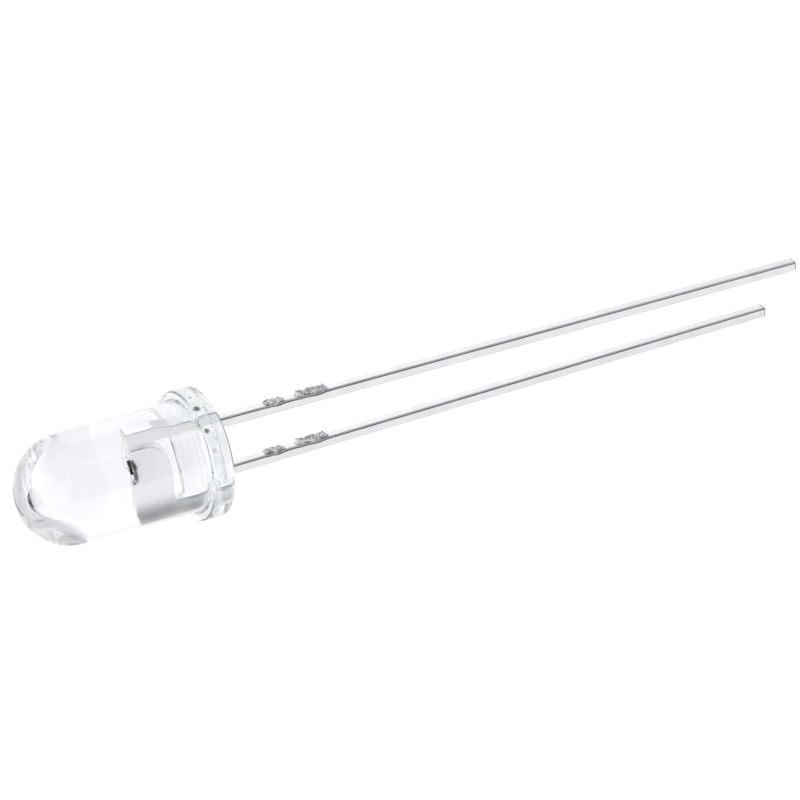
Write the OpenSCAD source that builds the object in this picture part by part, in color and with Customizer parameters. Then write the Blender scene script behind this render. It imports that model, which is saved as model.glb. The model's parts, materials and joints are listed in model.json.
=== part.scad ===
// Round through-hole LED with a clear lens: an epoxy body cast round a two-piece stamped leadframe.
// It is drawn upright, with its seat at z = 0, its dome up and its leads down. It is then laid as it
// comes to rest on a table: on the flat of its flange and on the tip of its short lead.

/* [Lens] */
// Diameter of the barrel
lens_d = 5; // [4.8:0.05:5.2]
// Height from the seat to the top of the dome
lens_h = 9.1; // [8.4:0.1:9.8]
// Diameter of the flange
flange_d = 5.9; // [5.75:0.05:6.2]
// Thickness of the flange
flange_t = 1; // [0.8:0.05:1.4]
// Distance from the axis to the flat that marks the cathode side
flat_dist = 2.7; // [2.65:0.01:2.8]
// Radius between the barrel and the flange
root_r = 0.12; // [0.05:0.01:0.14]
// Radius of the flange's front edge
rim_r = 0.1; // [0.05:0.01:0.15]
// Height of the resin that creeps up each lead behind the seat
creep_h = 0.18; // [0.1:0.01:0.3]

/* [Leads] */
// Distance between the leads' centre lines at the seat
pitch = 2.54; // [2.5:0.01:2.6]
// Width of a lead
lead_w = 0.5; // [0.45:0.01:0.55]
// Thickness of the sheet that both leads are stamped from
sheet_t = 0.48; // [0.4:0.01:0.5]
// Length of the anode lead behind the seat
anode_len = 30.8; // [26:0.1:34]
// Length of the cathode lead behind the seat
cathode_len = 29.2; // [24:0.1:32]
// Angle by which the cathode lead leans towards the anode lead
cathode_lean = 0.95; // [0:0.05:1.5]
// Angle by which the anode lead leans towards the cathode lead
anode_lean = 0.15; // [0:0.05:0.5]

/* [Tie bar stubs] */
// Distance from the seat to each stub
stub_from = [3, 4.6];
// Length of each stub along the lead
stub_len = [1, 1.6];
// Height of each stub above the lead's edge
stub_h = [0.1, 0.15];
// Distance from the front face of the lead back to its stubs
stub_back = 0.1; // [0:0.01:0.15]

/* [Anvil and cup] */
// Height of the anvil's lower edge above the seat
anvil_base = 2.15; // [1.6:0.05:2.6]
// Height of the cup's rim above the seat
cup_top = 4.05; // [3.8:0.05:4.4]
// Distance from the axis to the anvil's edge on the anode side
anvil_reach = 0.86; // [0.7:0.01:0.88]
// Radius of the anvil's corner on the anode side
anvil_corner = 1.1; // [0.6:0.05:1.15]
// Cut corner of the anvil on the cathode side
anvil_chamfer = 0.36; // [0.1:0.01:0.5]
// Distance by which the cup stands off the axis, towards the anode lead
cup_shift = 0.12; // [0:0.01:0.15]
// Diameter of the forged head round the cup
head_d = 0.88; // [0.84:0.01:0.94]
// Diameter of the cup at its rim
cup_d = 0.74; // [0.66:0.01:0.78]
// Diameter of the cup's floor
cup_floor_d = 0.48; // [0.47:0.01:0.52]
// Depth of the cup
cup_depth = 0.2; // [0.16:0.01:0.24]

/* [Post] */
// Width of the post's head, where the bond wire lands
post_w = 0.7; // [0.55:0.01:0.8]
// Height of the post's head along the lead
post_head_h = 1.4; // [1:0.05:1.5]

/* [Chip and wire] */
// Side of the square chip
chip_w = 0.3; // [0.2:0.01:0.31]
// Height of the chip
chip_h = 0.22; // [0.1:0.01:0.24]
// Diameter of the silver paste under the chip
paste_d = 0.46; // [0.44:0.01:0.46]
// Thickness of the silver paste
paste_t = 0.025; // [0.02:0.005:0.04]
// Diameter of the bond wire across its flats
wire_d = 0.025; // [0.02:0.005:0.04]
// Height of the wire's loop above the cup's rim
loop_h = 0.25; // [0.25:0.01:0.4]

/* [Hidden] */
$fn = 64;

lens_r = lens_d / 2;
flange_r = flange_d / 2;
shoulder = lens_h - lens_r;
lead_x = pitch / 2;
stub_root = 0.1;
corner_x = anvil_reach - anvil_corner;
corner_z = anvil_base + anvil_corner;
head_r = head_d / 2;
head_foot_r = sheet_t / 2 - 0.02;
head_foot_z = cup_top - 0.6;
head_side_z = cup_top - 0.3;
cup_floor_z = cup_top - cup_depth;
paste_top = cup_floor_z + paste_t;
chip_top = paste_top + chip_h;
creep_r = lead_w * 0.74;
creep_foot_r = creep_r + creep_h;

// The ball, the rise, the bend and the long fall of the bond wire
ball_r = wire_d * 1.5;
ball_h = wire_d;
bend_r = 0.125;
loop_top = cup_top + loop_h;
landing_x = lead_x + 0.05;
fall_run = landing_x - cup_shift - bend_r;
fall_angle = 2 * atan((loop_top - cup_top) / fall_run);
fall_r = fall_run / sin(fall_angle);
wire_r = wire_d / 2 / cos(22.5);

// Slope of the leads once the flat's edge and the cathode lead's tip both touch the table
tip_dist = lead_x + lead_w / 2 - cathode_len * tan(cathode_lean);
rest_angle = atan((flat_dist - tip_dist) / cathode_len);

// Lays the upright LED down: dome towards -X, cathode side down
module lay() {
    rotate([0, rest_angle - 90, 0]) children();
}

// Gives a stamped outline, drawn with the sheet's width along X and the height along Y, its thickness
module stamped() {
    translate([0, sheet_t / 2, 0]) rotate([90, 0, 0]) linear_extrude(sheet_t) children();
}

// Points of a lead from the seat down and back up again, leaning behind the seat
function tail_points(x, length, lean) = [
    [x + lead_w / 2, 0],
    [x + lead_w / 2 + length * tan(lean), -length],
    [x - lead_w / 2 + length * tan(lean), -length],
    [x - lead_w / 2, 0]
];

// Outlines of the stubs that the sheared tie bars leave on the +X edge of a lead
module stub_outlines(x, lean) {
    for (i = [0 : len(stub_from) - 1]) {
        near = stub_from[i];
        far = near + stub_len[i];
        near_x = x + lead_w / 2 + near * tan(lean);
        far_x = x + lead_w / 2 + far * tan(lean);
        polygon([
            [near_x - stub_root, -near],
            [near_x, -near],
            [near_x + stub_h[i], -near - stub_h[i] * 0.4],
            [far_x + stub_h[i], -far + stub_h[i] * 0.8],
            [far_x, -far],
            [far_x - stub_root, -far]
        ]);
    }
}

// The stubs themselves, level with the rear face of the sheet and a little short of the front one
module stubs(x, lean) {
    translate([0, sheet_t / 2, 0]) rotate([90, 0, 0])
        linear_extrude(sheet_t - stub_back) stub_outlines(x, lean);
}

// Flat part of the cathode stamping: lead, neck and anvil, with the anvil's two corners taken off
module cathode_outline() {
    outer = -lead_x - lead_w / 2;
    difference() {
        polygon(concat([
            [outer, cup_top - anvil_chamfer],
            [outer + anvil_chamfer, cup_top],
            [anvil_reach, cup_top],
            [anvil_reach, anvil_base],
            [-lead_x + lead_w / 2, anvil_base]
        ], tail_points(-lead_x, cathode_len, cathode_lean)));
        difference() {
            translate([corner_x, anvil_base - anvil_corner]) square(anvil_corner * 2);
            translate([corner_x, corner_z]) circle(anvil_corner);
            translate([corner_x, corner_z]) square(anvil_corner * 2);
        }
    }
}

// Forged head on the anvil, before the cup is struck
module head() {
    translate([cup_shift, 0, 0]) rotate_extrude() polygon([
        [0, head_foot_z],
        [head_foot_r, head_foot_z],
        [head_r, head_side_z],
        [head_r, cup_top],
        [0, cup_top]
    ]);
}

module cathode_solid() {
    difference() {
        union() {
            stamped() cathode_outline();
            stubs(-lead_x, cathode_lean);
            head();
        }
        translate([cup_shift, 0, cup_floor_z])
            cylinder(h = cup_depth, d1 = cup_floor_d, d2 = cup_d);
    }
}

// Flat part of the anode stamping: a lead that ends in a post, widened outwards for the bond
module anode_outline() {
    inner = lead_x - lead_w / 2;
    polygon(concat([
        [inner, cup_top],
        [inner + post_w, cup_top],
        [inner + post_w, cup_top - post_head_h],
        [inner + lead_w, cup_top - post_head_h * 1.6]
    ], tail_points(lead_x, anode_len, -anode_lean)));
}

module anode_solid() {
    stamped() anode_outline();
    stubs(lead_x, -anode_lean);
}

module paste_solid() {
    translate([cup_shift, 0, cup_floor_z]) cylinder(h = paste_t, d = paste_d);
}

module chip_solid() {
    translate([cup_shift, 0, paste_top + chip_h / 2])
        cube([chip_w, chip_w, chip_h], center = true);
}

// Part of a ring of wire about (x, z), from start to stop in degrees from the X axis
module wire_arc(x, z, radius, start, stop) {
    translate([x, 0, z]) rotate([90, 0, 0]) rotate([0, 0, start])
        rotate_extrude(angle = stop - start) translate([radius, 0]) circle(wire_r, $fn = 8);
}

// Gold wire, drawn from the cup's axis: a ball on the chip, a rise and a bend, and a long fall
module wire_run() {
    rise_z = chip_top + ball_h;
    bend_z = loop_top - bend_r;
    translate([0, 0, chip_top]) cylinder(h = ball_h, r = ball_r);
    translate([0, 0, rise_z]) linear_extrude(bend_z - rise_z) circle(wire_r, $fn = 8);
    wire_arc(bend_r, bend_z, bend_r, 90, 180);
    wire_arc(bend_r, loop_top - fall_r, fall_r, 90 - fall_angle * 1.05, 90);
}

// The wire ends flat on the top of the post
module wire_solid() {
    difference() {
        translate([cup_shift, 0, 0]) wire_run();
        translate([lead_x, 0, cup_top - 0.5]) cube([2, 1, 1], center = true);
    }
}

// Half of the cast body's section, flange at the bottom and dome at the top
module lens_section() {
    square([flange_r - rim_r, flange_t]);
    square([flange_r, flange_t - rim_r]);
    translate([flange_r - rim_r, flange_t - rim_r]) circle(rim_r);
    square([lens_r, shoulder]);
    difference() {
        translate([lens_r - 0.1, flange_t - 0.1]) square(root_r + 0.1);
        translate([lens_r + root_r, flange_t + root_r]) circle(root_r);
    }
    intersection() {
        translate([0, shoulder]) circle(lens_r);
        translate([0, shoulder - 0.1]) square(lens_r + 0.1);
    }
}

// Everything that the resin is cast round
module embedded() {
    cathode_solid();
    anode_solid();
    paste_solid();
    chip_solid();
    wire_solid();
}

module lens() {
    color("lightcyan", 0.35) lay() difference() {
        union() {
            rotate_extrude() lens_section();
            for (x = [-lead_x, lead_x])
                translate([x, 0, -creep_h]) cylinder(h = creep_h, r1 = creep_r, r2 = creep_foot_r);
        }
        translate([-flat_dist - lens_r, 0, flange_t / 2])
            cube([lens_r * 2, flange_d, flange_t + 0.2], center = true);
        embedded();
    }
}

module cathode_lead() {
    color("silver") lay() cathode_solid();
}

module anode_lead() {
    color("silver") lay() anode_solid();
}

module die_attach() {
    color("lightgray") lay() paste_solid();
}

module chip() {
    color("slategray") lay() chip_solid();
}

module bond_wire() {
    color("gold") lay() wire_solid();
}

lens();
cathode_lead();
anode_lead();
die_attach();
chip();
bond_wire();
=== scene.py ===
import json
import math

import bmesh
import bpy
import numpy as np
from mathutils import Matrix, Vector


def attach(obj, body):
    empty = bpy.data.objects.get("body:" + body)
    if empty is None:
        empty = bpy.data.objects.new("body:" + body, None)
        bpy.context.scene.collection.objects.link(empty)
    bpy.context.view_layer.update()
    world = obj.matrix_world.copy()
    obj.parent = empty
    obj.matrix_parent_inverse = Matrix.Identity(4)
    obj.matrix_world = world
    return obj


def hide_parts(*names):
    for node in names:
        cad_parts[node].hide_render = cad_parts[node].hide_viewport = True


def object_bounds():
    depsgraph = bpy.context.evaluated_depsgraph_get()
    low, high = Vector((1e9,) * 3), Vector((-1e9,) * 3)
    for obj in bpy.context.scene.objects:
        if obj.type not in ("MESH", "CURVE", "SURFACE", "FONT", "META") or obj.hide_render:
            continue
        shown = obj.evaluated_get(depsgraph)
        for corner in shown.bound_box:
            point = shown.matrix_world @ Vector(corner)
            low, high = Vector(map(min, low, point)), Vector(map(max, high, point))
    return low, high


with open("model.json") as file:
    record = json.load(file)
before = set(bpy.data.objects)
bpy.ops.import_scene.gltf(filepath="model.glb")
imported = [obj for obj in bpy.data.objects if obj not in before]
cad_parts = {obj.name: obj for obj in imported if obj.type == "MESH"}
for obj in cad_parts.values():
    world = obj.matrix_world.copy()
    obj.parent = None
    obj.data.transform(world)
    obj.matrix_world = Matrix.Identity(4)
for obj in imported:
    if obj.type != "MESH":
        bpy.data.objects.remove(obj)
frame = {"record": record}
cad_low, cad_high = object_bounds()
scene = bpy.context.scene

# ---------------------------------------------------------------------------------------------
# Camera: it stands at the diode's front left and looks down on it through a long lens. It is
# rolled a little, so that the leads climb across the frame although the diode lies on its flat.
# ---------------------------------------------------------------------------------------------
MM = 0.001
view_azimuth = math.radians(-27.7073)
view_elevation = math.radians(31.0966)
view_roll = math.radians(-3.3735)
view_distance = 250 * MM
view_target = Vector((9.672, -0.353, -0.501)) * MM
film_width, focal_length = 36, 251.77

view_back = Vector((
    math.sin(view_azimuth) * math.cos(view_elevation),
    -math.cos(view_azimuth) * math.cos(view_elevation),
    math.sin(view_elevation),
))
level_right = Vector((math.cos(view_azimuth), math.sin(view_azimuth), 0))
level_up = view_back.cross(level_right)
view_right = math.cos(view_roll) * level_right + math.sin(view_roll) * level_up
view_up = math.cos(view_roll) * level_up - math.sin(view_roll) * level_right

camera_data = bpy.data.cameras.new("camera")
camera_data.sensor_width = film_width
camera_data.lens = focal_length
camera_data.clip_start = 0.01
camera_data.clip_end = 10
camera = bpy.data.objects.new("camera", camera_data)
scene.collection.objects.link(camera)
camera.matrix_world = (
    Matrix.Translation(view_target + view_back * view_distance)
    @ Matrix((view_right, view_up, view_back)).transposed().to_4x4()
)
scene.camera = camera

# ---------------------------------------------------------------------------------------------
# Lens: water-clear epoxy, cast dome down in a polished cup, with the leadframe dipped in from
# behind. The cup rounds its edges, and the open rear face sets with a shallow dish, a lip at the
# rim, and resin that creeps up the leads.
# ---------------------------------------------------------------------------------------------
lens_r, lens_h = 2.5, 9.1
flange_r, flange_t, flat_dist = 2.95, 1.0, 2.7
root_r, rim_r, lip_r = 0.20, 0.10, 0.06
corner_soft = 0.012          # how far the ends of the flat are rounded off
dish_depth = 0.035
# Specks caught in the flange's wall: degrees round it, height, radius and darkness
specks = [
    (-18, 0.79, 0.17, 0.98), (-41, 0.85, 0.13, 0.95), (-59, 0.79, 0.12, 0.5), (-2, 0.70, 0.09, 0.8),
]
creep_h, creep_reach = 0.18, 0.10
lead_x, lead_w, sheet_t = 1.27, 0.5, 0.48
lens_segments = 360
# Painted shade on the resin: how high the flange's shaded streaks end, where the dome's painted
# shade starts and is full, and the painted dark rings along the rims
streaks_end, dome_shade_start, dome_shade_full = (1.3, 1.0), 6.8, 8.0
rim_shade_r, rim_shade_reach, rear_reach = 2.78, 0.045, 0.08
resin_index = 1.57
clear, clouded = (0.88, 0.88, 0.907, 1), (0.82, 0.82, 0.85, 1)
# Painted shade: clouded streaks on the flange, clouds on the dome seen at a slant, and the resin
# seen edge-on
painted_flange_shade, painted_dome_shade, painted_edge_shade = (0.70, 0.73, 0.74, 1), (0.46, 0.47, 0.46, 1), (0.55, 0.57, 0.59, 1)

seat_mount = next(m for m in frame["record"]["mounts"] if m["name"] == "seat")
behind = Vector(seat_mount["axis"])
LAID = Matrix((Vector((-behind.z, 0, behind.x)), Vector((0, 1, 0)), -behind)).transposed().to_4x4()


def skin(rings, first=None, last=None):
    """Points and faces over closed rings of equal length. A point given for an end closes it in a
    fan, and an end without one is closed with a single face."""
    count = len(rings[0])
    points = [tuple(p) for ring in rings for p in ring]
    faces = [
        (r * count + i, r * count + (i + 1) % count,
         (r + 1) * count + (i + 1) % count, (r + 1) * count + i)
        for r in range(len(rings) - 1) for i in range(count)
    ]
    top = (len(rings) - 1) * count
    for tip, start in ((first, 0), (last, top)):
        if tip is None:
            faces.append(tuple(range(start, start + count)))
        else:
            points.append(tuple(tip))
            faces += [(start + i, start + (i + 1) % count, len(points) - 1) for i in range(count)]
    return points, faces


def make_mesh(name, *solids):
    """One mesh in metres from solids, each given as points in mm and faces."""
    built = bmesh.new()
    for points, faces in solids:
        verts = [built.verts.new(Vector(p) * MM) for p in points]
        made = [built.faces.new([verts[i] for i in f]) for f in faces]
        bmesh.ops.recalc_face_normals(built, faces=made)
    mesh = bpy.data.meshes.new(name)
    built.to_mesh(mesh)
    built.free()
    mesh.shade_smooth()
    return mesh


def place(name, mesh, material, slot, *nodes):
    """Lays a finished mesh down where its CAD node is, with its material. Its slot argument is not
    used.
    """
    mesh.transform(LAID)
    mesh.materials.append(material)
    piece = bpy.data.objects.new(name, mesh)
    scene.collection.objects.link(piece)
    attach(piece, "root")
    if nodes:
        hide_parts(*nodes)
    return piece


def add_node(tree, kind, links=None, **settings):
    """Adds a shader node. Links fill its inputs by name, with a value or another node's output."""
    made = tree.nodes.new(kind)
    for key, value in settings.items():
        setattr(made, key, value)
    for key, value in (links or {}).items():
        if isinstance(value, bpy.types.NodeSocket):
            tree.links.new(value, made.inputs[key])
        else:
            made.inputs[key].default_value = value
    return made


def ramp(tree, value, start, end, low=0.0, high=1.0, kind="LINEAR"):
    """Runs from low to high while a value runs from start to end."""
    return add_node(tree, "ShaderNodeMapRange", {
        "Value": value, "From Min": start, "From Max": end, "To Min": low, "To Max": high,
    }, interpolation_type=kind).outputs["Result"]


def blend(tree, share, first, second, kind="RGBA"):
    """One colour, or one value, that gives way to another as a mask rises."""
    return add_node(tree, "ShaderNodeMix", {
        "Factor": share, "A": first, "B": second,
    }, data_type=kind).outputs["Result"]


def both(tree, *masks):
    """Product of masks, which is full only where each of them is."""
    made = masks[0]
    for mask in masks[1:]:
        made = add_node(tree, "ShaderNodeMath", {0: made, 1: mask}, operation="MULTIPLY").outputs[0]
    return made


def along_line(tree, vector, line):
    """How far a vector reaches along a line."""
    return add_node(tree, "ShaderNodeVectorMath", {
        0: vector, 1: tuple(line),
    }, operation="DOT_PRODUCT").outputs["Value"]


def split(tree, vector):
    """A vector's X, Y and Z."""
    return add_node(tree, "ShaderNodeSeparateXYZ", {0: vector}).outputs


def upright_place(tree):
    """Where a point lies on the part held upright, in metres, as it was before it was laid down."""
    return add_node(tree, "ShaderNodeMapping", {
        "Vector": add_node(tree, "ShaderNodeTexCoord").outputs["Object"],
        "Rotation": LAID.inverted().to_euler(),
    }).outputs["Vector"]


def emboss(tree, shader, height, depth, strength=1.0):
    """Raises a surface by a mask, to a depth in metres."""
    raised = add_node(tree, "ShaderNodeBump", {
        "Height": height, "Strength": strength, "Distance": depth,
    })
    tree.links.new(raised.outputs["Normal"], shader.inputs["Normal"])


def new_material(name):
    """A material, its node tree and its surface shader."""
    material = bpy.data.materials.new(name)
    material.use_nodes = True
    return material, material.node_tree, material.node_tree.nodes["Principled BSDF"]


def effect_group(name, inputs, outputs):
    """An empty node group with named sockets, each given as (name, socket type, default)."""
    tree = bpy.data.node_groups.new(name, "ShaderNodeTree")
    for label, kind, default in inputs:
        tree.interface.new_socket(label, in_out="INPUT", socket_type=kind).default_value = default
    for label, kind in outputs:
        tree.interface.new_socket(label, in_out="OUTPUT", socket_type=kind)
    return tree, tree.nodes.new("NodeGroupInput").outputs, tree.nodes.new("NodeGroupOutput").inputs


# Cloudy patches between two limits, as on cast resin, plating and cured paste
cloud, cloud_in, cloud_out = effect_group(
    "cloud",
    [("Size", "NodeSocketFloat", 0.001), ("Roughness", "NodeSocketFloat", 0.5),
     ("Low", "NodeSocketFloat", 0.35), ("High", "NodeSocketFloat", 0.65)],
    [("Mask", "NodeSocketFloat")],
)
per_metre = add_node(cloud, "ShaderNodeMath", {0: 1.0, 1: cloud_in["Size"]}, operation="DIVIDE")
patches = add_node(cloud, "ShaderNodeTexNoise", {
    "Vector": add_node(cloud, "ShaderNodeTexCoord").outputs["Object"],
    "Scale": per_metre.outputs[0], "Detail": 4.0, "Roughness": cloud_in["Roughness"],
})
cloud.links.new(
    ramp(cloud, patches.outputs["Fac"], cloud_in["Low"], cloud_in["High"], kind="SMOOTHSTEP"),
    cloud_out["Mask"],
)


def add_effect(tree, group, **values):
    """Places an effect group in a material with its own values."""
    made = tree.nodes.new("ShaderNodeGroup")
    made.node_tree = group
    for label, value in values.items():
        made.inputs[label].default_value = value
    return made.outputs


def flange_outline(inset):
    """Radius of the flange at each segment, a little inside its edge, with the flat cut off. The
    flat's own edges are rolled less than the round ones."""
    turned = np.linspace(0, 2 * math.pi, lens_segments, endpoint=False)
    to_flat = (flat_dist - 0.4 * inset) / np.maximum(-np.cos(turned), 0.05)
    to_round = np.full(lens_segments, flange_r - inset)
    return -corner_soft * np.logaddexp(-to_flat / corner_soft, -to_round / corner_soft)


def ring_at(radius, height):
    """Closed ring about the lens's axis; radius and height are numbers or one per segment."""
    turned = np.linspace(0, 2 * math.pi, lens_segments, endpoint=False)
    radius = np.broadcast_to(radius, turned.shape)
    return np.stack([
        radius * np.cos(turned), radius * np.sin(turned),
        np.broadcast_to(height, turned.shape),
    ], axis=1)


def arc_steps(count):
    """Angles from 0 to 90 degrees in even steps."""
    return np.linspace(0, math.pi / 2, count)


# Rear face, with its rings closest together where the resin creeps up the leads
lens_rings = []
for share in np.concatenate([
    np.linspace(0.04, 0.28, 9), np.linspace(0.287, 0.62, 46), np.linspace(0.64, 1, 16),
]):
    ring = ring_at(flange_outline(lip_r) * share, 0)
    dish = dish_depth * (1 - np.clip((share - 0.82) / 0.16, 0, 1) ** 2)
    to_lead = np.minimum.reduce([
        np.hypot(
            np.maximum(np.abs(ring[:, 0] - x) - lead_w / 2, 0),
            np.maximum(np.abs(ring[:, 1]) - sheet_t / 2, 0),
        ) for x in (-lead_x, lead_x)
    ])
    ring[:, 2] = dish - (creep_h + dish) * np.exp(-to_lead / creep_reach)
    lens_rings.append(ring)

for a in arc_steps(7)[1:]:
    lens_rings.append(ring_at(
        flange_outline(lip_r * (1 - math.sin(a))), lip_r * (1 - math.cos(a))
    ))
for height in np.linspace(lip_r, flange_t - rim_r, 5)[1:]:
    lens_rings.append(ring_at(flange_outline(0), height))
for a in arc_steps(10)[1:]:
    lens_rings.append(ring_at(
        flange_outline(rim_r * (1 - math.cos(a))), flange_t - rim_r * (1 - math.sin(a))
    ))
for share in (0.25, 0.5, 0.75):
    edge = flange_outline(rim_r)
    lens_rings.append(ring_at(edge + (lens_r + root_r - edge) * share, flange_t))
for a in arc_steps(10):
    lens_rings.append(ring_at(
        lens_r + root_r * (1 - math.sin(a)), flange_t + root_r * (1 - math.cos(a))
    ))
for height in np.linspace(flange_t + root_r, lens_h - lens_r, 20)[1:]:
    lens_rings.append(ring_at(lens_r, height))
for a in arc_steps(64)[1:-1]:
    lens_rings.append(ring_at(lens_r * math.cos(a), lens_h - lens_r + lens_r * math.sin(a)))

resin, tree, glass = new_material("clear_resin")
glass.inputs["Metallic"].default_value = 0.0
glass.inputs["Transmission Weight"].default_value = 1.0
glass.inputs["IOR"].default_value = resin_index
here = upright_place(tree)
level = split(tree, here)["Z"]
facing = add_node(tree, "ShaderNodeLayerWeight").outputs["Facing"]
haze = add_effect(tree, cloud, Size=0.0025, Roughness=0.4, Low=0.3, High=0.7)["Mask"]
colour = blend(tree, haze, clear, clouded)
# Painted shade: clouded streaks on the flange, dust-like clouds where the dome is seen at a slant,
# and dark rings along the flange's two rims on one side
streaks = add_effect(tree, cloud, Size=0.0007, Roughness=0.6, Low=0.35, High=0.65)["Mask"]
on_flange = ramp(tree, level, streaks_end[0] * MM, streaks_end[1] * MM)
colour = blend(tree, both(tree, on_flange, streaks), colour, painted_flange_shade)
# painted shade on the dome, clouded like dust and strongest where the dome is seen at a slant
dome_shade_clouds = add_effect(tree, cloud, Size=0.0014, Roughness=0.6, Low=0.2, High=0.5)["Mask"]
on_dome = ramp(tree, level, dome_shade_start * MM, dome_shade_full * MM)
slanted = ramp(tree, facing, 0.35, 0.6, high=0.9)
colour = blend(tree, both(tree, on_dome, dome_shade_clouds, slanted), colour, painted_dome_shade)
# painted shade where the resin is seen edge-on, darkening its outlines
colour = blend(tree, ramp(tree, facing, 0.75, 1.0), colour, painted_edge_shade)
across = add_node(tree, "ShaderNodeVectorMath", {0: here, 1: (1, 1, 0)}, operation="MULTIPLY")
from_axis = add_node(tree, "ShaderNodeVectorMath", {0: across.outputs[0]}, operation="LENGTH")
# painted shade: dark rings near the flange's rims and along its rear edge, broken in clouds, on the
# side towards (0.7, -0.7) only
rim_shade_side = ramp(tree, along_line(tree, here, (0.7, -0.7, 0)), 2.3 * MM, 2.5 * MM)
for value, middle, reach, grain, rim_shade in [
    (from_axis.outputs["Value"], rim_shade_r, rim_shade_reach, 0.0006, (0.12, 0.12, 0.12, 1)),
    (level, 0.0, rear_reach, 0.0011, (0.10, 0.12, 0.12, 1)),
]:
    ringed = add_node(tree, "ShaderNodeMath", {
        0: value, 1: middle * MM, 2: reach * MM,
    }, operation="COMPARE").outputs[0]
    broken = add_effect(tree, cloud, Size=grain, Roughness=0.3, Low=0.42, High=0.52)["Mask"]
    colour = blend(tree, both(tree, ringed, broken, rim_shade_side), colour, rim_shade)
for turned, up, speck_r, dark in specks:
    turned = math.radians(turned)
    middle = Vector((math.cos(turned) * flange_r, math.sin(turned) * flange_r, up)) * MM
    away = add_node(tree, "ShaderNodeVectorMath", {0: here, 1: middle}, operation="DISTANCE")
    in_speck = ramp(tree, away.outputs["Value"], 1.3 * speck_r * MM, 0.6 * speck_r * MM, high=dark)
    colour = blend(tree, in_speck, colour, (0.01, 0.01, 0.01, 1))
tree.links.new(colour, glass.inputs["Base Color"])
rubbed = add_effect(tree, cloud, Size=0.0009, Roughness=0.7, Low=0.5, High=0.75)["Mask"]
tree.links.new(ramp(tree, rubbed, 0, 1, high=0.05), glass.inputs["Roughness"])
flow = add_effect(tree, cloud, Size=0.0018, Roughness=0.3, Low=0.2, High=0.8)["Mask"]
emboss(tree, glass, flow, 0.000004)

lens = make_mesh("lens", skin(lens_rings, first=(0, 0, dish_depth), last=(0, 0, lens_h)))
place("lens", lens, resin, "clear_resin", "lens")

# ---------------------------------------------------------------------------------------------
# Cathode lead: stamped from steel sheet, silver-plated in the resin and tinned behind it. The
# punch rolls the front edges over and leaves a burr behind, and the trimmed tie bars leave stubs.
# Its end widens into an anvil, which is forged round and struck with the reflector cup.
# ---------------------------------------------------------------------------------------------
cathode_len, cathode_lean = 29.2, math.radians(0.95)
anvil_base, cup_top = 2.15, 4.05
anvil_reach, anvil_corner, anvil_chamfer = 0.86, 1.1, 0.36
cup_shift, head_r, cup_r, cup_floor_r, cup_depth = 0.12, 0.44, 0.37, 0.24, 0.2
stub_from, stub_len, stub_h = (3.0, 4.6), (1.0, 1.6), (0.1, 0.15)
stub_back = 0.1              # how far the stubs stand behind the lead's front face
edge_roll, head_roll, burr_r = 0.12, 0.05, 0.02   # leads, anvil and post, rear edges
outline_corner = 0.14
tin, dull_tin = (0.74, 0.74, 0.745, 1), (0.69, 0.69, 0.70, 1)
silver, dull_silver = (0.96, 0.965, 0.965, 1), (0.92, 0.925, 0.925, 1)
steel, torn_steel = (0.74, 0.74, 0.75, 1), (0.36, 0.36, 0.36, 1)
# painted shade for the forged head's front, then the sheared tips' dark edge
painted_head_shade, smeared = (0.20, 0.20, 0.20, 1), (0.10, 0.10, 0.10, 1)
resin_gloss, steel_gloss = 0.28, 0.55


def stamp_outline(corners):
    """Points, outward directions and edge rolls round a stamping, from corners given as
    (x, z, radius, roll)."""
    found = []
    count = len(corners)
    for i, (x, z, radius, roll) in enumerate(corners):
        here = np.array((x, z))
        back = np.array(corners[i - 1][:2]) - here
        ahead = np.array(corners[(i + 1) % count][:2]) - here
        back, ahead = back / np.linalg.norm(back), ahead / np.linalg.norm(ahead)
        n_in = np.array((back[1], -back[0]))       # outward side of the run that arrives
        n_out = np.array((-ahead[1], ahead[0]))    # and of the run that leaves
        turn = math.acos(max(-1, min(1, float(n_in @ n_out))))
        if turn < 0.02 or radius == 0:
            n = n_in + n_out
            found.append((here, n / np.linalg.norm(n), roll))
            continue
        cut = radius * math.tan(turn / 2)
        bisector = (back + ahead) / np.linalg.norm(back + ahead)
        centre = here + bisector * math.hypot(cut, radius)
        outwards = float(n_in @ -bisector) > 0
        steps = max(4, round(turn / math.radians(9)))
        for k in range(steps + 1):
            share = k / steps
            n = n_in * math.sin((1 - share) * turn) + n_out * math.sin(share * turn)
            n /= math.sin(turn)
            found.append((centre + (n if outwards else -n) * radius, n, roll))
    return found


def stamped(corners):
    """Solid of a stamping: its outline through the sheet, rolled over at the front edge and with
    a small burr at the rear one."""
    outline = stamp_outline(corners)
    at = np.array([p for p, n, r in outline])
    out = np.array([n for p, n, r in outline])
    roll = np.array([r for p, n, r in outline])[:, None]
    half = sheet_t / 2
    rings = []
    for a in arc_steps(7):
        inset = roll * (1 - math.sin(a))
        rings.append((at - out * inset, -half + roll * (1 - math.cos(a))))
    for a in arc_steps(4):
        inset = burr_r * (1 - math.cos(a))
        rings.append((at - out * inset, np.full_like(roll, half - burr_r * (1 - math.sin(a)))))
    return skin([np.column_stack([flat[:, 0], depth[:, 0], flat[:, 1]]) for flat, depth in rings])


def tail_corners(x, length, lean):
    """Corners of a lead behind the seat: down its +X edge, past the nicks where the punch took
    the tie bars off, and back up."""
    corners = [(x + lead_w / 2, 0, 0, edge_roll)]
    for near, long in zip(stub_from, stub_len):
        for share, deep in [(-0.1, 0), (0.1, 0.02), (0.3, 0.01), (0.5, 0.05), (0.68, 0.055),
                            (0.85, 0.015), (1.1, 0)]:
            z = -near - long * share
            corners.append((x + lead_w / 2 - z * math.tan(lean) - deep, z, 0, edge_roll))
    tip = x + length * math.tan(lean)
    corners += [
        (tip + lead_w / 2, -length, outline_corner, edge_roll),
        (tip - lead_w / 2, -length, outline_corner, edge_roll),
        (x - lead_w / 2, 0, 0, edge_roll),
    ]
    return corners


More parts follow.
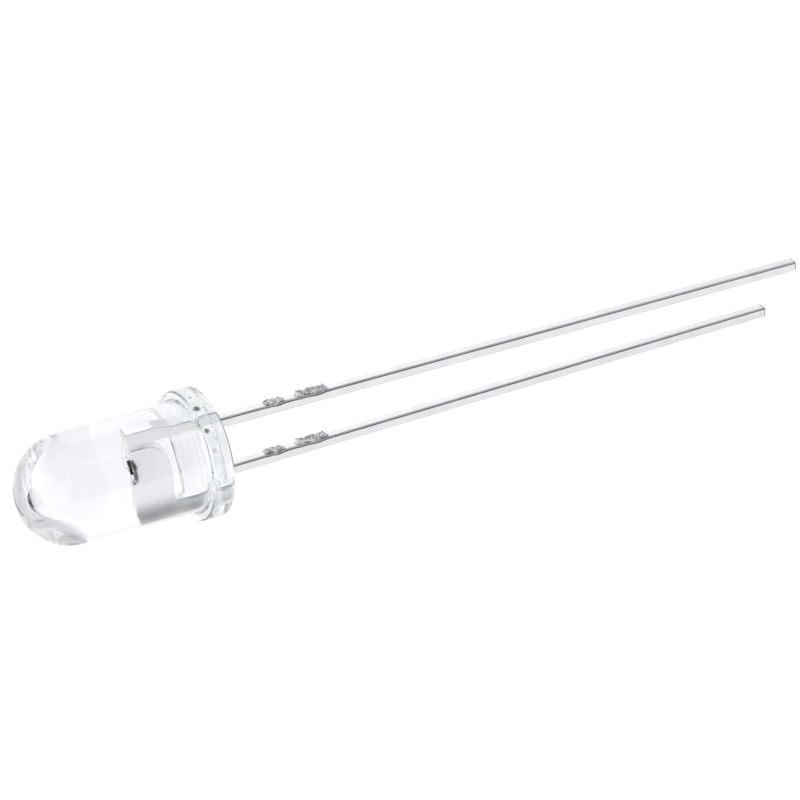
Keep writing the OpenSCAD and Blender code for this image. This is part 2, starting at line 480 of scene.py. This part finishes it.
def stub_solids(x, lean):
    """The two stubs on a lead's +X edge, each with a torn top and a ragged front."""
    solids = []
    for near, long, high in zip(stub_from, stub_len, stub_h):
        rings = []
        for share in np.linspace(0, 1, round(long / 0.02)):
            z = -near - long * share
            foot = x + lead_w / 2 - z * math.tan(lean)
            ragged = 0.04 * abs(math.sin(5 * z + 2)) + 0.015 * math.sin(31 * z)
            depth = np.linspace(-sheet_t / 2 + stub_back + ragged, sheet_t / 2 - burr_r, 16)
            # The shears tear the top into crags, coarse ones first
            crags = (
                0.34 * abs(math.sin(4.5 * z + 0.8)) + 0.14 * np.abs(np.sin(11 * z - 3 * depth))
                + 0.03 * np.sin(37 * z + 21 * depth) + 0.02 * np.sin(61 * z - 47 * depth)
            )
            swell = min(1, share * long / 0.05, (1 - share) * long / 0.16)
            top = foot - 0.03 + (high + 0.03) * swell * (0.5 + np.clip(crags, 0, 0.5))
            rings.append(np.column_stack([
                np.concatenate([[foot - 0.1], top, [foot - 0.1]]),
                np.concatenate([depth[:1], depth, depth[-1:]]),
                np.full(len(depth) + 2, z),
            ]))
        solids.append(skin(rings))
    return solids


def round_profile(profile, segments=96):
    """Solid turned about the cup's axis from (radius, height) points that start and end on it."""
    angles = np.linspace(0, 2 * math.pi, segments, endpoint=False)
    rings = [
        np.stack([cup_shift + r * np.cos(angles), r * np.sin(angles), np.full(segments, z)], axis=1)
        for r, z in profile[1:-1]
    ]
    return skin(rings, first=(cup_shift, 0, profile[0][1]), last=(cup_shift, 0, profile[-1][1]))


def cut_or_join(mesh, tool, operation):
    """Applies one boolean to a mesh and drops the tool."""
    body = bpy.data.objects.new("body", mesh)
    cutter = bpy.data.objects.new("cutter", tool)
    for o in (body, cutter):
        scene.collection.objects.link(o)
    step = body.modifiers.new("step", "BOOLEAN")
    step.operation, step.object, step.solver = operation, cutter, "EXACT"
    bpy.context.view_layer.update()
    finished = body.evaluated_get(bpy.context.evaluated_depsgraph_get())
    result = bpy.data.meshes.new_from_object(finished)
    for o in (body, cutter):
        bpy.data.objects.remove(o)
    return result


def soften(piece, sharp_above):
    """Shades a piece smooth across its rolled edges and keeps its broad faces flat."""
    piece.data.set_sharp_from_angle(angle=math.radians(sharp_above))
    weigh = piece.modifiers.new("flat faces", "WEIGHTED_NORMAL")
    weigh.keep_sharp = True
    weigh.weight = 60


# Fine lines along a piece, as rolling, shearing, sawing and drawing leave them
lines, lines_in, lines_out = effect_group(
    "fine lines",
    [("Along", "NodeSocketVector", (1.0, 1.0, 0.02)), ("Width", "NodeSocketFloat", 0.00003),
     ("Low", "NodeSocketFloat", 0.3), ("High", "NodeSocketFloat", 0.7)],
    [("Mask", "NodeSocketFloat")],
)
stretched = add_node(lines, "ShaderNodeVectorMath", {
    0: upright_place(lines), 1: lines_in["Along"],
}, operation="MULTIPLY")
per_metre = add_node(lines, "ShaderNodeMath", {0: 1.0, 1: lines_in["Width"]}, operation="DIVIDE")
drawn = add_node(lines, "ShaderNodeTexNoise", {
    "Vector": stretched.outputs[0], "Scale": per_metre.outputs[0], "Detail": 3.0, "Roughness": 0.6,
})
lines.links.new(
    ramp(lines, drawn.outputs["Fac"], lines_in["Low"], lines_in["High"]), lines_out["Mask"]
)

plate, tree, metal = new_material("plated_lead")
metal.inputs["Metallic"].default_value = 1.0
at = split(tree, upright_place(tree))
normal = add_node(tree, "ShaderNodeTexCoord").outputs["Normal"]
looks = split(tree, normal)
in_resin = ramp(tree, at["Z"], -0.2 * MM, 0.0)
patch = add_effect(tree, cloud, Size=0.0012, Roughness=0.6, Low=0.35, High=0.7)["Mask"]
colour = blend(
    tree, in_resin, blend(tree, patch, tin, dull_tin), blend(tree, patch, silver, dull_silver)
)

# Painted shade: the front of the forged head is darkened in clouds just below the cup's rim
level_place = add_node(tree, "ShaderNodeCombineXYZ", {0: at["X"], 1: at["Y"]})
to_cup = add_node(tree, "ShaderNodeVectorMath", {
    0: level_place.outputs[0], 1: (cup_shift * MM, 0, 0),
}, operation="DISTANCE")
head_shade = both(
    tree,
    add_effect(tree, cloud, Size=0.0002, Roughness=0.6, Low=0.3, High=0.5)["Mask"],
    ramp(tree, to_cup.outputs["Value"], (head_r + 0.06) * MM, (head_r + 0.01) * MM),
    ramp(tree, at["Y"], 0.0, -0.15 * MM),
    ramp(tree, at["Z"], (cup_top - 0.24) * MM, (cup_top - 0.16) * MM),
)
colour = blend(tree, head_shade, colour, painted_head_shade)

# The tie bars were sheared off after plating, so the stubs' torn tops show bare steel. So do the
# tips, where the shears leave a dark smeared edge.
stub_spans = [
    add_node(tree, "ShaderNodeMath", {
        0: at["Z"], 1: -(near + long / 2) * MM, 2: long / 2 * MM,
    }, operation="COMPARE").outputs[0]
    for near, long in zip(stub_from, stub_len)
]
at_stub = add_node(tree, "ShaderNodeMath", {0: stub_spans[0], 1: stub_spans[1]}, operation="ADD")
torn_top = both(
    tree,
    at_stub.outputs[0],
    ramp(tree, at["Y"], -0.18 * MM, -0.15 * MM),
    ramp(tree, along_line(tree, normal, (0, -0.7, 0.7)), 0.2, 0.4),
)
tip = both(
    tree,
    ramp(tree, looks["X"], 0.1, 0.3),
    ramp(tree, at["Z"], -(cathode_len - 0.7) * MM, -(cathode_len - 0.2) * MM),
)
chipped = add_effect(tree, cloud, Size=0.0002, Roughness=0.65, Low=0.38, High=0.58)["Mask"]
bare_steel = blend(tree, chipped, torn_steel, steel)
colour = blend(tree, torn_top, colour, bare_steel)
colour = blend(
    tree, tip, colour, blend(tree, ramp(tree, looks["X"], 0.85, 0.98), smeared, bare_steel)
)
tree.links.new(colour, metal.inputs["Base Color"])

# Lines of the rolled sheet on its faces, and of the shears on its cut edges
torn = add_effect(tree, lines, Along=(1.0, 0.12, 1.0), Width=0.00004, Low=0.35, High=0.75)["Mask"]
rolled = add_effect(tree, lines, Along=(1.0, 1.0, 0.02), Width=0.00003, Low=0.3, High=0.7)["Mask"]
sideways = add_node(tree, "ShaderNodeMath", {0: looks["Z"]}, operation="ABSOLUTE").outputs[0]
marks = blend(tree, ramp(tree, sideways, 0.85, 0.99), rolled, torn, kind="FLOAT")
gloss = blend(tree, in_resin, ramp(tree, marks, 0, 1, 0.15, 0.25), resin_gloss, kind="FLOAT")
bare = add_node(tree, "ShaderNodeMath", {0: torn_top, 1: tip}, operation="MAXIMUM").outputs[0]
gloss = blend(tree, bare, gloss, steel_gloss, kind="FLOAT")
tree.links.new(gloss, metal.inputs["Roughness"])
emboss(tree, metal, marks, 0.0000003)

outer = -lead_x - lead_w / 2
cathode_corners = [
    (anvil_reach, cup_top, outline_corner, head_roll),
    (anvil_reach, anvil_base + anvil_corner, 0, head_roll),
]
for a in np.linspace(0, math.pi / 2, 14)[1:-1]:
    cathode_corners.append((
        anvil_reach - anvil_corner * (1 - math.cos(a)),
        anvil_base + anvil_corner * (1 - math.sin(a)), 0, head_roll,
    ))
cathode_corners += [
    (anvil_reach - anvil_corner, anvil_base, 0, head_roll),
    (-lead_x + lead_w / 2, anvil_base, outline_corner, head_roll),
    *tail_corners(-lead_x, cathode_len, cathode_lean),
    (outer, cup_top - anvil_chamfer, 0.14, head_roll),
    (outer + anvil_chamfer, cup_top, 0.14, head_roll),
]
head_solid = round_profile([
    (0, cup_top - 0.6), (sheet_t / 2 - 0.02, cup_top - 0.6),
    (head_r - 0.03, cup_top - 0.34), (head_r, cup_top - 0.28), (head_r, cup_top - 0.04),
    (head_r - 0.012, cup_top - 0.012), (head_r - 0.04, cup_top + 0.002), (0, cup_top + 0.002),
])
cup_tool = round_profile([
    (0, cup_top + 0.3), (cup_r + 0.4, cup_top + 0.3), (cup_r + 0.035, cup_top + 0.0021),
    (cup_r + 0.01, cup_top - 0.01), (cup_r, cup_top - 0.03),
    (cup_floor_r + 0.02, cup_top - cup_depth + 0.02), (cup_floor_r - 0.02, cup_top - cup_depth),
    (0, cup_top - cup_depth),
])
stamping = make_mesh("cathode_lead", stamped(cathode_corners))
stubs = make_mesh("stubs", *stub_solids(-lead_x, cathode_lean))
stamping = cut_or_join(stamping, stubs, "UNION")
stamping = cut_or_join(stamping, make_mesh("head", head_solid), "UNION")
stamping = cut_or_join(stamping, make_mesh("cup", cup_tool), "DIFFERENCE")
soften(place("cathode_lead", stamping, plate, "plated_lead", "cathode_lead"), 40)

# ---------------------------------------------------------------------------------------------
# Anode lead: the second stamping of the same plated sheet, longer, so that its side is known by
# hand. Its end is the post, widened outwards for the bond wire.
# ---------------------------------------------------------------------------------------------
anode_len, anode_lean = 30.8, math.radians(0.15)
post_w, post_head_h = 0.7, 1.4

inner = lead_x - lead_w / 2
anode_corners = [
    (inner + post_w, cup_top, outline_corner, head_roll),
    (inner + post_w, cup_top - post_head_h, 0.8, head_roll),
    (inner + lead_w, cup_top - post_head_h * 1.6, 0.8, head_roll),
    *tail_corners(lead_x, anode_len, -anode_lean),
    (inner, cup_top, outline_corner, head_roll),
]
post = make_mesh("anode_lead", stamped(anode_corners))
post = cut_or_join(post, make_mesh("stubs", *stub_solids(lead_x, -anode_lean)), "UNION")
soften(place("anode_lead", post, plate, "plated_lead", "anode_lead"), 40)

# ---------------------------------------------------------------------------------------------
# Die attach: a dot of silver-filled epoxy, squeezed out under the chip and cured. It climbs the
# chip's foot a little and ends in an uneven edge.
# ---------------------------------------------------------------------------------------------
chip_w, chip_h = 0.3, 0.22
paste_r, paste_t = 0.22, 0.025
paste_climb = 0.04
cup_floor = cup_top - cup_depth
paste_segments = 96

paste, tree, grey = new_material("silver_paste")
grey.inputs["Metallic"].default_value = 0.7
flakes = add_effect(tree, cloud, Size=0.00002, Roughness=0.8, Low=0.4, High=0.6)["Mask"]
shade = blend(tree, flakes, (0.42, 0.42, 0.43, 1), (0.72, 0.72, 0.73, 1))
tree.links.new(shade, grey.inputs["Base Color"])
tree.links.new(ramp(tree, flakes, 0, 1, 0.7, 0.4), grey.inputs["Roughness"])
emboss(tree, grey, flakes, 0.000004)

turned = np.linspace(0, 2 * math.pi, paste_segments, endpoint=False)
chip_edge = (chip_w / 2 - 0.005) / np.maximum(np.abs(np.cos(turned)), np.abs(np.sin(turned)))
paste_edge = paste_r + 0.006 * np.sin(3 * turned + 0.7) + 0.004 * np.sin(7 * turned)
paste_rings = [
    np.stack([
        cup_shift + radius * np.cos(turned), radius * np.sin(turned),
        np.full(paste_segments, cup_floor + height),
    ], axis=1)
    for radius, height in [
        (chip_edge, paste_t),
        (chip_edge + 0.004, paste_t + paste_climb),
        (chip_edge + 0.010, paste_t + paste_climb * 0.8),
        *[(chip_edge + (paste_edge - chip_edge) * (0.15 + 0.85 * s),
           paste_t * math.sqrt(max(0, 1 - s ** 3)) + paste_climb * 0.6 * (1 - s) ** 3)
          for s in np.linspace(0, 1, 9)],
    ]
]
place(
    "die_attach", make_mesh("die_attach", skin(paste_rings)), paste, "silver_paste", "die_attach"
)

# ---------------------------------------------------------------------------------------------
# Chip: a sawn square of semiconductor with rough sides, a street left by the saw round its top
# and a round gold pad in the middle for the ball of the bond wire.
# ---------------------------------------------------------------------------------------------
paste_top = cup_floor + paste_t
chip_top = paste_top + chip_h
street, street_step, pad_r, pad_t = 0.016, 0.008, 0.055, 0.003

die, tree, body = new_material("chip")
body.inputs["IOR"].default_value = 1.5
saw = add_effect(tree, lines, Along=(0.05, 0.05, 1.0), Width=0.000008, Low=0.3, High=0.7)["Mask"]
shade = blend(tree, saw, (0.012, 0.013, 0.012, 1), (0.03, 0.032, 0.028, 1))
tree.links.new(shade, body.inputs["Base Color"])
normal = add_node(tree, "ShaderNodeTexCoord").outputs["Normal"]
polish = ramp(tree, split(tree, normal)["X"], -0.5, -0.95, 0.6, 0.4)
tree.links.new(polish, body.inputs["Roughness"])
emboss(tree, body, saw, 0.000002, strength=0.8)

gold, tree, bright = new_material("gold")
bright.inputs["Metallic"].default_value = 1.0
drawn = add_effect(tree, lines, Along=(1.0, 1.0, 0.1), Width=0.000006, Low=0.3, High=0.7)["Mask"]
shade = blend(tree, drawn, (0.93, 0.82, 0.56, 1), (0.84, 0.74, 0.48, 1))
tree.links.new(shade, bright.inputs["Base Color"])
tree.links.new(ramp(tree, drawn, 0, 1, 0.12, 0.3), bright.inputs["Roughness"])

square_steps = np.linspace(0, 2 * math.pi, 48, endpoint=False)


def square_ring(half, height, corner):
    """Ring of a square with rounded corners about the cup's axis."""
    c, s = np.cos(square_steps), np.sin(square_steps)
    power = 2 / (2 + 60 * (1 - corner))
    shape = np.stack([np.sign(c) * np.abs(c) ** power, np.sign(s) * np.abs(s) ** power], axis=1)
    return np.column_stack([shape * half + (cup_shift, 0), np.full(len(c), height)])


half = chip_w / 2
chip_rings = [
    square_ring(half - 0.004, paste_top, 0.2), square_ring(half, paste_top + 0.006, 0.2),
    square_ring(half, chip_top - street_step - 0.003, 0.2),
    square_ring(half - 0.004, chip_top - street_step, 0.2),
    square_ring(half - street, chip_top - street_step, 0.2),
    square_ring(half - street - 0.002, chip_top - 0.001, 0.2),
    square_ring(half - street - 0.005, chip_top, 0.2),
]
soften(place("chip", make_mesh("chip", skin(chip_rings)), die, "chip", "chip"), 35)
pad = round_profile([
    (0, chip_top - 0.002), (pad_r, chip_top - 0.002), (pad_r, chip_top + pad_t - 0.001),
    (pad_r - 0.003, chip_top + pad_t), (0, chip_top + pad_t),
], segments=48)
soften(place("bond_pad", make_mesh("bond_pad", pad), gold, "gold_wire"), 35)

# ---------------------------------------------------------------------------------------------
# Bond wire: drawn gold. A ball welded to the chip's pad, a short rise with a bend, and a long
# fall to the post, where the tool flattens its end into a stitch.
# ---------------------------------------------------------------------------------------------
wire_r, loop_h, bend_r = 0.011, 0.25, 0.125
loop_top = cup_top + loop_h
bend_x, landing_x = cup_shift + bend_r, lead_x + 0.05
fall_run = landing_x - bend_x
fall_angle = 2 * math.atan(loop_h / fall_run)
fall_r = fall_run / math.sin(fall_angle)

# Stations along the wire: centre x and z, direction in degrees, half height and half width
stations = []
for rise, radius in [
    (0.0, 0.026), (0.002, 0.032), (0.007, 0.037), (0.013, 0.038), (0.019, 0.034),
    (0.023, 0.027), (0.027, 0.019), (0.032, 0.014), (0.038, wire_r),
]:
    stations.append((cup_shift, chip_top + rise, 90, radius, radius))
for z in np.linspace(chip_top + 0.045, loop_top - bend_r, 6):
    stations.append((cup_shift, z, 90, wire_r, wire_r))
for a in np.linspace(180, 90, 16)[1:]:
    r = math.radians(a)
    stations.append((
        bend_x + bend_r * math.cos(r), loop_top - bend_r + bend_r * math.sin(r), a - 90,
        wire_r, wire_r,
    ))
for a in np.linspace(90, 90 - math.degrees(fall_angle) * 0.93, 26)[1:]:
    r = math.radians(a)
    stations.append((
        bend_x + fall_r * math.cos(r), loop_top - fall_r + fall_r * math.sin(r), a - 90,
        wire_r, wire_r,
    ))
last_x, last_z, slope = stations[-1][:3]
for share, thick, wide in [(0.25, 0.9, 1.0), (0.5, 0.7, 1.2), (0.75, 0.42, 1.7), (0.9, 0.3, 2.1),
                           (1.15, 0.22, 2.3), (1.4, 0.12, 2.0), (1.5, 0.05, 1.4)]:
    settle = min(1, share)
    z = last_z + (cup_top + wire_r * 0.2 - last_z) * (1 - (1 - settle) ** 1.6)
    stations.append((
        last_x + (landing_x - last_x) * share, z, slope * (1 - settle),
        wire_r * thick, wire_r * wide,
    ))
round_the_wire = np.linspace(0, 2 * math.pi, 20, endpoint=False)
wire_rings = []
for x, z, heading, tall, wide in stations:
    h = math.radians(heading)
    across = tall * np.cos(round_the_wire)
    wire_rings.append(np.stack([
        x - across * math.sin(h), wide * np.sin(round_the_wire), z + across * math.cos(h),
    ], axis=1))
place("bond_wire", make_mesh("bond_wire", skin(wire_rings)), gold, "gold_wire", "bond_wire")

# ---------------------------------------------------------------------------------------------
# Setting: a plain backlit floor that the flat's edge and the cathode's tip rest on, in an even
# pale light. A dim card behind the camera, a dim side wall and a dim ceiling give the clear resin
# and the bright leads something dark to show.
# ---------------------------------------------------------------------------------------------
def flat_sheet(name, corners, material):
    """A four-cornered sheet of the setting, in metres."""
    mesh = bpy.data.meshes.new(name)
    mesh.from_pydata(corners, [], [(0, 1, 2, 3)])
    mesh.materials.append(material)
    sheet = bpy.data.objects.new(name, mesh)
    scene.collection.objects.link(sheet)
    return sheet


def matt(name, light, dark):
    """Matt surface, faintly clouded between two colours."""
    material, tree, surface = new_material(name)
    fibre = add_effect(tree, cloud, Size=0.004, Roughness=0.7, Low=0.3, High=0.7)["Mask"]
    tree.links.new(blend(tree, fibre, light, dark), surface.inputs["Base Color"])
    surface.inputs["Roughness"].default_value = 0.9
    return material, surface


floor_half, floor_glow = 2.0, 0.9
floor_z = cad_low.z
acrylic, lit = matt("lit acrylic", (0.22, 0.22, 0.22, 1), (0.21, 0.21, 0.21, 1))
lit.inputs["Emission Color"].default_value = (1, 1, 1, 1)
lit.inputs["Emission Strength"].default_value = floor_glow
flat_sheet(
    "floor",
    [(x * floor_half, y * floor_half, floor_z) for x, y in ((-1, -1), (1, -1), (1, 1), (-1, 1))],
    acrylic,
)

# The card is plain paper that glows brighter towards its top and its ends, a painted light
card_far, card_half, card_foot, card_top = 0.6, 0.6, 0.01, 2.2
glow_above, glow_beyond = 0.6, 0.30      # height, and distance from the middle
glow_at_top, glow_at_ends = 0.6, 1.1
card_azimuth = math.radians(15)
towards = Vector((math.sin(card_azimuth), -math.cos(card_azimuth), 0))
along = Vector((math.cos(card_azimuth), math.sin(card_azimuth), 0))
paper, surface = matt("dim card", (0.08, 0.09, 0.10, 1), (0.10, 0.11, 0.12, 1))
card = flat_sheet(
    "card",
    [towards * card_far + along * side * card_half + Vector((0, 0, up))
     for side, up in ((-1, card_foot), (1, card_foot), (1, card_top), (-1, card_top))],
    paper,
)
card.visible_camera = False
tree = paper.node_tree
here = add_node(tree, "ShaderNodeTexCoord").outputs["Object"]
sideways = add_node(tree, "ShaderNodeMath", {
    0: along_line(tree, here, along),
}, operation="ABSOLUTE").outputs[0]
# painted light: the card's glow rises towards its top and its ends
painted_glow = add_node(tree, "ShaderNodeMath", {
    0: ramp(tree, split(tree, here)["Z"], glow_above, card_top, high=glow_at_top),
    1: ramp(tree, sideways, glow_beyond, card_half, high=glow_at_ends),
}, operation="MAXIMUM").outputs[0]
tree.links.new(painted_glow, surface.inputs["Emission Color"])
surface.inputs["Emission Strength"].default_value = 1.0

room_light, dim_wall, dim_ceiling = (
    (0.97, 0.98, 1.0, 1), (0.58, 0.59, 0.61, 1), (0.35, 0.36, 0.37, 1)
)
room_strength = 1.32
wall_azimuth, wall_elevation = math.radians(112), math.radians(18)
to_wall = (
    math.sin(wall_azimuth) * math.cos(wall_elevation),
    -math.cos(wall_azimuth) * math.cos(wall_elevation), math.sin(wall_elevation),
)
world = bpy.data.worlds.new("room")
world.use_nodes = True
tree = world.node_tree
looks = add_node(tree, "ShaderNodeTexCoord").outputs["Generated"]
at_wall = ramp(tree, along_line(tree, looks, to_wall), 0.80, 0.95, kind="SMOOTHSTEP")
at_ceiling = ramp(tree, split(tree, looks)["Z"], 0.58, 0.80)
room = blend(tree, at_ceiling, blend(tree, at_wall, room_light, dim_wall), dim_ceiling)
tree.links.new(room, tree.nodes["Background"].inputs["Color"])
tree.nodes["Background"].inputs["Strength"].default_value = room_strength
scene.world = world

# A large square lamp above looks at the lens, too soft to show in anything that shines
lamp_place, lamp_size, lamp_power = Vector((0.05, 0.25, 0.55)), 0.45, 1.5
lamp = bpy.data.lights.new("overhead", "AREA")
lamp.shape, lamp.size, lamp.energy = "SQUARE", lamp_size, lamp_power
overhead = bpy.data.objects.new("overhead", lamp)
scene.collection.objects.link(overhead)
overhead.matrix_world = (
    Matrix.Translation(lamp_place) @ lamp_place.to_track_quat("Z", "Y").to_matrix().to_4x4()
)
overhead.visible_glossy = False

# Light crosses the resin's faces many times, so it is followed that far
scene.view_settings.view_transform = "Standard"
scene.cycles.max_bounces, scene.cycles.transmission_bounces = 32, 32
scene.cycles.glossy_bounces = 24
